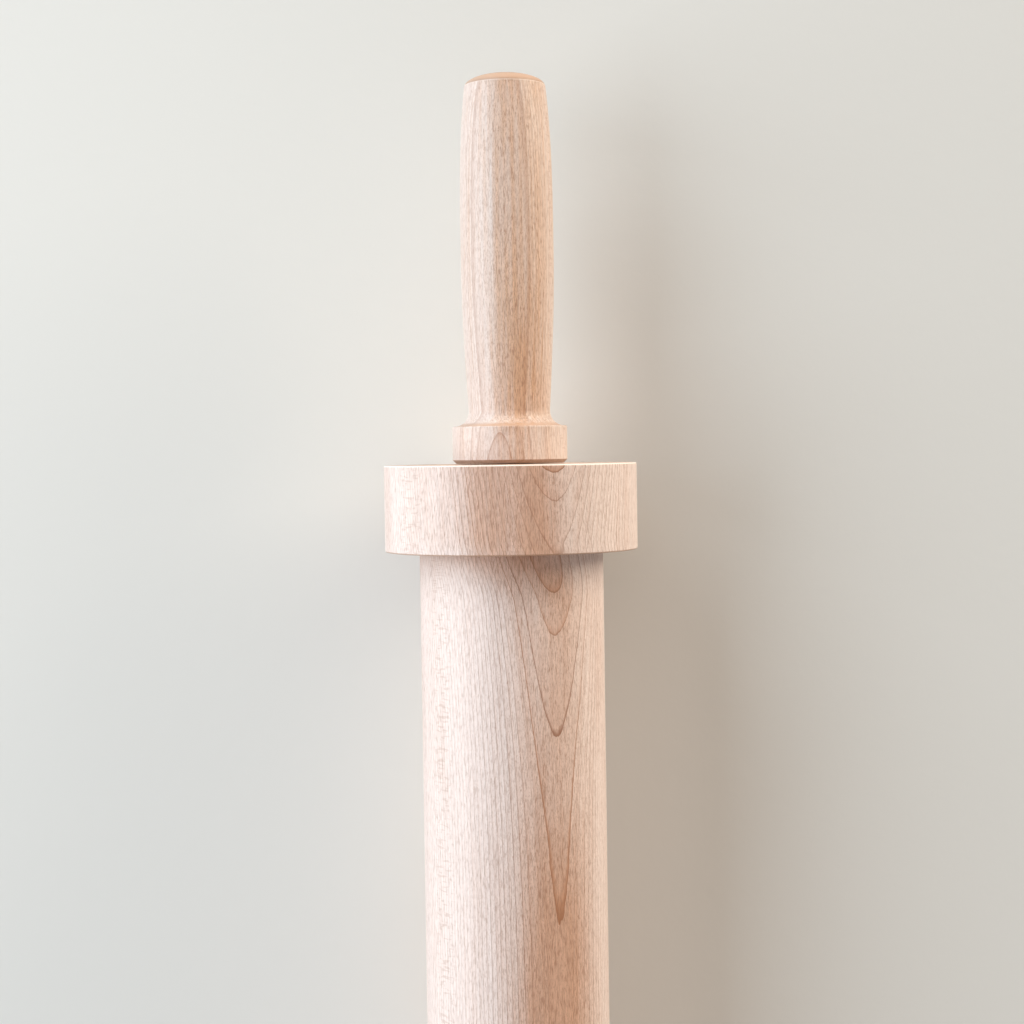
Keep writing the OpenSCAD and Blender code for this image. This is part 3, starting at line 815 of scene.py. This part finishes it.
def lathe_finish(name, bright, dull, metallic, roughness, mark, relief_depth):
    """A finish with marks round the axis. The noise reads (along / mark, radius / mark, 3 * the sideways part
    of the direction from the axis), with the mark's width in millimetres, so it changes fast along and across
    the axis and slowly round it."""
    material, tree, output = new_material(name)
    place = add(tree, "ShaderNodeTexCoord").node
    from_axis = add(tree, "ShaderNodeMapping", {
        "Vector": place.outputs["Object"], "Location": (0, 0, -axis_z), "Scale": (1 / mm, 1 / mm, 1 / mm),
    })
    parts = add(tree, "ShaderNodeSeparateXYZ", {0: from_axis}).node
    flat = add(tree, "ShaderNodeCombineXYZ", {0: 0.0, 1: parts.outputs[1], 2: parts.outputs[2]})
    radius = add(tree, "ShaderNodeVectorMath", {0: flat}, operation="LENGTH").node.outputs["Value"]
    radius = add(tree, "ShaderNodeMath", {0: radius, 1: 1 / mark}, operation="MULTIPLY")
    along = add(tree, "ShaderNodeMath", {0: parts.outputs[0], 1: 1 / mark}, operation="MULTIPLY")
    round_axis = add(tree, "ShaderNodeVectorMath", {0: flat}, operation="NORMALIZE")
    turn = add(tree, "ShaderNodeSeparateXYZ", {0: round_axis}).node
    turn = add(tree, "ShaderNodeMath", {0: turn.outputs[1], 1: round_scale}, operation="MULTIPLY")
    marks = add(tree, "ShaderNodeCombineXYZ", {0: along, 1: radius, 2: turn})
    marks = add(tree, "ShaderNodeTexNoise", {"Vector": marks, "Scale": 1.0, "Detail": 3.0})
    stain = add(tree, "ShaderNodeTexNoise", {"Vector": from_axis, "Scale": stain_scale, "Detail": 3.0})
    colour = add(tree, "ShaderNodeMix", {
        "Factor": stain, 6: linear(bright), 7: linear(dull),
    }, data_type="RGBA").node.outputs[2]
    rough = add(tree, "ShaderNodeMapRange", {
        "Value": marks, "From Min": 0.3, "From Max": 0.7,
        "To Min": roughness * 0.8, "To Max": roughness * 1.25,
    })
    relief = add(tree, "ShaderNodeBump", {"Strength": 0.4, "Distance": relief_depth * mm, "Height": marks})
    surface = add(tree, "ShaderNodeBsdfPrincipled", {
        "Base Color": colour, "Metallic": metallic, "Roughness": rough, "Normal": relief,
    })
    tree.links.new(surface, output.inputs["Surface"])
    return material


finishes = {
    "steel": lathe_finish("ground_steel_rod", "#c9cbcf", "#b4b6ba", 1.0, 0.26, 0.12, 0.01),
    "spring_steel": lathe_finish("oiled_spring_steel", "#6e7178", "#53565c", 1.0, 0.38, 0.2, 0.01),
    "bearing_steel": lathe_finish("ground_bearing_steel", "#d2d4d8", "#bfc1c6", 1.0, 0.16, 0.08, 0.004),
    "ball_steel": lathe_finish("polished_ball_steel", "#dcdde0", "#d0d2d6", 1.0, 0.06, 0.6, 0.0005),
    "sheet_steel": lathe_finish("pressed_sheet_steel", "#c2c4c8", "#a9acb1", 1.0, 0.3, 0.3, 0.006),
    "brass": lathe_finish("turned_brass", "#d9b565", "#c29a4c", 1.0, 0.28, 0.15, 0.012),
    "acetal": lathe_finish("turned_acetal", "#e9e7e0", "#dedbd2", 0.0, 0.4, 0.2, 0.008),
}
slots = {row["node"]: row["material_slot"] for row in frame["record"]["subparts"]}
for node, thing in frame["nodes"].items():
    finish = finishes.get(slots[node])
    if finish is None:
        finish = barrel.data.materials[0] if node == "barrel" else right_handle.data.materials[0]
    thing.data.materials.clear()
    thing.data.materials.append(finish)
print("finishes:", len(finishes) + 3)

# %% [markdown]
# ## Floor, light and camera
#
# The pin lies on a plain pale floor. A large cool lamp, like a high window, stands beyond the right handle on
# the picture's left, and a smaller one beside the pin brightens its left side. A wide warm lamp, low on the
# right, shows that edge again and leaves a shaded stripe between the two lights. A weak lamp overhead lifts the
# middle, and the sky is a plain warm white that fills the shadows.

# %% Floor
floor_size, floor_gap = 6.0, 0.1 * mm
bpy.ops.mesh.primitive_grid_add(
    x_subdivisions=2, y_subdivisions=2, size=floor_size, location=(0, 0, -floor_gap),
)
floor = bpy.context.object
floor.name = "floor"
floor_material, tree, output = new_material("pale_matt_floor")
place = add(tree, "ShaderNodeTexCoord").node
mottle = add(tree, "ShaderNodeTexNoise", {"Vector": place.outputs["Object"], "Scale": 260.0, "Detail": 2.0})
relief = add(tree, "ShaderNodeBump", {"Strength": 0.12, "Distance": 0.0004, "Height": mottle})
paint = add(tree, "ShaderNodeBsdfPrincipled", {
    "Base Color": linear("#e1e2e0"), "Roughness": 0.75, "Normal": relief,
})
tree.links.new(paint, output.inputs["Surface"])
floor.data.materials.append(floor_material)

# %% Light
def soft_lamp(name, place, aim, width, height, power, hex_colour):
    """A rectangular area lamp at a place, turned so that its face looks at the aim."""
    lamp = bpy.data.lights.new(name, "AREA")
    lamp.shape = "RECTANGLE"
    lamp.size, lamp.size_y = width, height
    lamp.energy = power
    lamp.color = linear(hex_colour, alpha=False)
    thing = bpy.data.objects.new(name, lamp)
    bpy.context.scene.collection.objects.link(thing)
    look = Vector(aim) - Vector(place)
    thing.location = place
    thing.rotation_euler = look.to_track_quat("-Z", "Y").to_euler()
    return thing


on_the_pin = (0.1, 0.0, 0.03)
soft_lamp("high_window", (1.8, 1.5, 0.87), on_the_pin, 1.6, 1.2, 35.0, "#eff9ff")
soft_lamp("left_window", (0.15, 1.0, 0.65), on_the_pin, 0.9, 0.9, 10.0, "#eff9ff")
soft_lamp("ceiling", (0.1, 0.3, 1.3), on_the_pin, 0.6, 0.6, 1.2, "#ffeee6")
soft_lamp("right_fill", (1.4, -1.8, 0.37), on_the_pin, 1.6, 0.6, 49.0, "#fff0da")

# %% Sky
world = bpy.data.worlds.new("pale_sky")
bpy.context.scene.world = world
world.use_nodes = True
sky = world.node_tree.nodes["Background"]
sky.inputs["Color"].default_value = linear("#fff3e7")
sky.inputs["Strength"].default_value = 0.31

# %% [markdown]
# The camera looks down at the pin from 0.56 m above its axis, a little past the raised ring, and leans
# slightly back towards the barrel. The lens is long, so the two sides of the barrel stay almost parallel. The
# picture's up is the pin's own +X. The focal length was measured in pixels of the picture's width, and is
# turned into millimetres of the camera's sensor.

# %% Camera
lens_pixels, frame_pixels, sensor_mm = 2022.0, 1024, 36.0
camera_at = (0.1548, -0.00031, 0.594925)
pitch = np.radians(1.773)
roll = np.radians(-0.846)
view = np.array([-np.sin(pitch), 0.0, -np.cos(pitch)])
up = np.array([np.cos(pitch), 0.0, -np.sin(pitch)])
right = np.cross(view, up)
right, up = right * np.cos(roll) + up * np.sin(roll), up * np.cos(roll) - right * np.sin(roll)
camera = bpy.data.objects.new("camera", bpy.data.cameras.new("camera"))
bpy.context.scene.collection.objects.link(camera)
camera.data.sensor_width = sensor_mm
camera.data.lens = lens_pixels / frame_pixels * sensor_mm
camera.data.clip_start = 0.01
stand = np.eye(4)
stand[:3, 0], stand[:3, 1], stand[:3, 2], stand[:3, 3] = right, up, -view, camera_at
camera.matrix_world = Matrix(stand.tolist())
bpy.context.scene.camera = camera
bpy.context.scene.view_settings.view_transform = "Standard"
print("lens:", round(camera.data.lens, 1), "mm")
